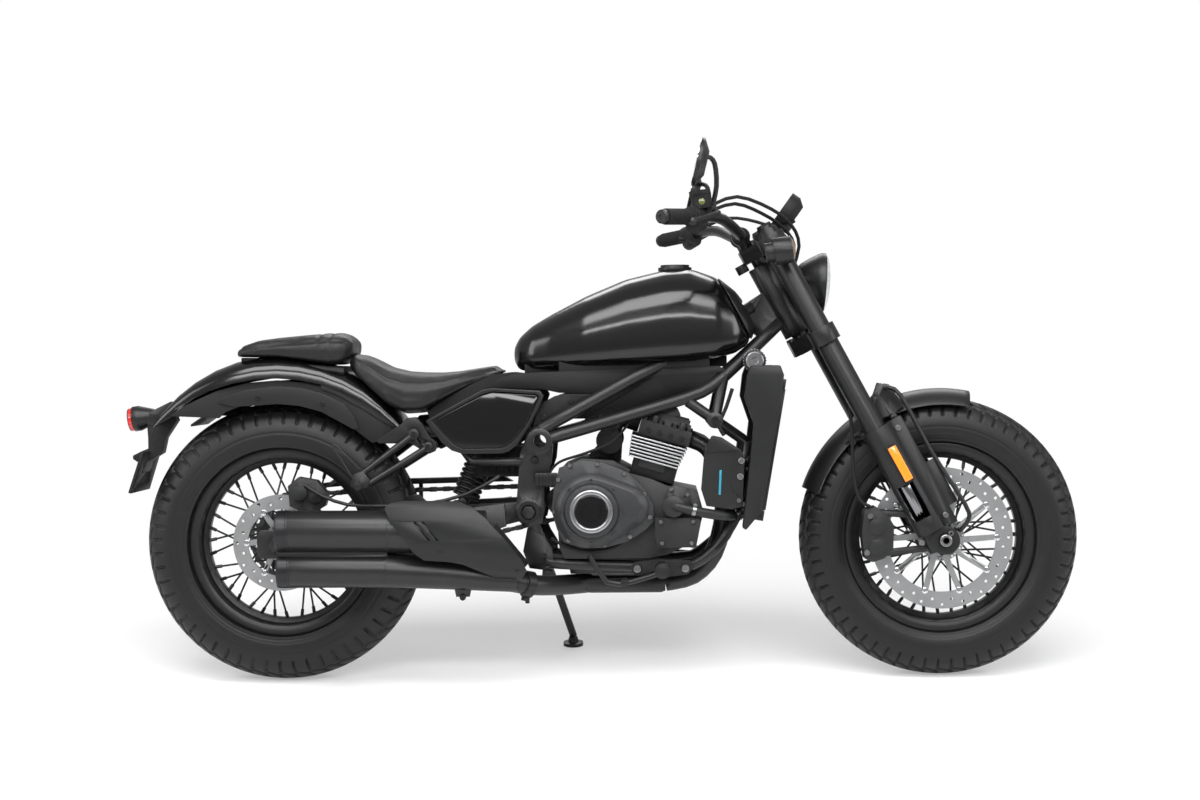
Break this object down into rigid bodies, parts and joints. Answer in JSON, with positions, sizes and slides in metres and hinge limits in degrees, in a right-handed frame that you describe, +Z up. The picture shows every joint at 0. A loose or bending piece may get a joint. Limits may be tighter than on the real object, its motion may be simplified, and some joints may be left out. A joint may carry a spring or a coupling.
{
  "type": "bobber motorcycle",
  "caption": "Low bobber motorcycle leaning on its side stand, with wire wheels, raked fork, teardrop tank, solo and pillion pads.",
  "frame": {"origin": "on the floor below the middle of the machine as it leans on its side stand", "axes": "+X forwards to the front wheel, +Y to the rider's left, towards which it leans, +Z up"},
  "size_m": [2.1825, 0.8573, 1.2364],
  "materials": {
    "casting_grey": "satin grey",
    "chain_steel": "dull",
    "disc_steel": "ground",
    "engine_black": "semi-matte black",
    "exhaust_black": "satin heat-proof black",
    "fin_metal": "machined edges",
    "frame_black": "satin black",
    "gloss_black": "gloss black",
    "lamp_glass": "gloss black shell with clear lens",
    "matte_black": "matte black",
    "plastic_black": "matte black",
    "plastic_grey": "matte dark grey",
    "rubber": "matte",
    "seat_cover": "dark brown, fine grain",
    "stanchion_chrome": "polished",
    "tail_lens": "black shell with red lens",
    "tyre_rubber": "matte"
  },
  "bodies": {
    "root": {"frame": "frame_black", "subframe_castings": "casting_grey", "swingarm": "matte_black", "rear_shock": "matte_black", "crankcase": "engine_black", "clutch_cover": "engine_black", "generator_cover": "engine_black", "cylinder_block": "fin_metal", "cylinder_head": "engine_black", "airbox": "plastic_black", "battery_box": "plastic_black", "water_pump": "engine_black", "radiator": "matte_black", "radiator_shroud": "plastic_grey", "coolant_cover": "plastic_black", "exhaust_pipes": "exhaust_black", "silencers": "exhaust_black", "heat_shield": "plastic_grey", "fuel_tank": "gloss_black", "tank_trim": "plastic_black", "filler_cap": "matte_black", "tank_panels": "plastic_grey", "side_covers": "plastic_black", "side_panels": "gloss_black", "rider_seat": "seat_cover", "pillion_seat": "seat_cover", "seat_base": "plastic_black", "rear_fender": "gloss_black", "inner_fender": "plastic_black", "fender_plates": "plastic_grey", "tail_light": "tail_lens", "plate_bracket": "plastic_black", "foot_controls": "casting_grey", "pillion_pegs": "casting_grey", "rear_caliper": "engine_black", "chain": "chain_steel"},
    "steering": {"fork_clamps": "matte_black", "fork_tubes": "matte_black", "stanchions": "stanchion_chrome", "fork_guards": "plastic_grey", "front_fender": "gloss_black", "front_caliper": "engine_black", "handlebar": "matte_black", "grips": "rubber", "bar_controls": "plastic_black", "mirrors": "matte_black", "instrument": "plastic_black", "headlight": "lamp_glass", "front_signals": "lamp_glass", "hoses": "rubber"},
    "front_wheel": {"front_tyre": "tyre_rubber", "front_rim": "matte_black", "front_hub": "matte_black", "front_disc": "disc_steel"},
    "rear_wheel": {"rear_tyre": "tyre_rubber", "rear_rim": "matte_black", "rear_hub": "matte_black", "rear_disc": "disc_steel", "rear_sprocket": "disc_steel"},
    "side_stand": {"side_stand": "matte_black"}
  },
  "joints": [
    {"name": "steering", "type": "hinge", "parent": "root", "child": "steering", "pos_m": [0.72352, -0.1078, 0.28675], "axis": [-0.4695, 0.1229, 0.8744], "range_deg": [-38, 38]},
    {"name": "front_wheel_spin", "type": "hinge", "parent": "steering", "child": "front_wheel", "pos_m": [0.7765, -0.10388, 0.31465], "axis": [0, 0.9903, -0.1392], "continuous": true},
    {"name": "rear_wheel_spin", "type": "hinge", "parent": "root", "child": "rear_wheel", "pos_m": [-0.7235, -0.10347, 0.31762], "axis": [0, 0.9903, -0.1392], "continuous": true},
    {"name": "side_stand_fold", "type": "hinge", "parent": "root", "child": "side_stand", "pos_m": [-0.1255, 0.03054, 0.22204], "axis": [0, 0.8757, 0.4828], "range_deg": [0, 86]}
  ]
}
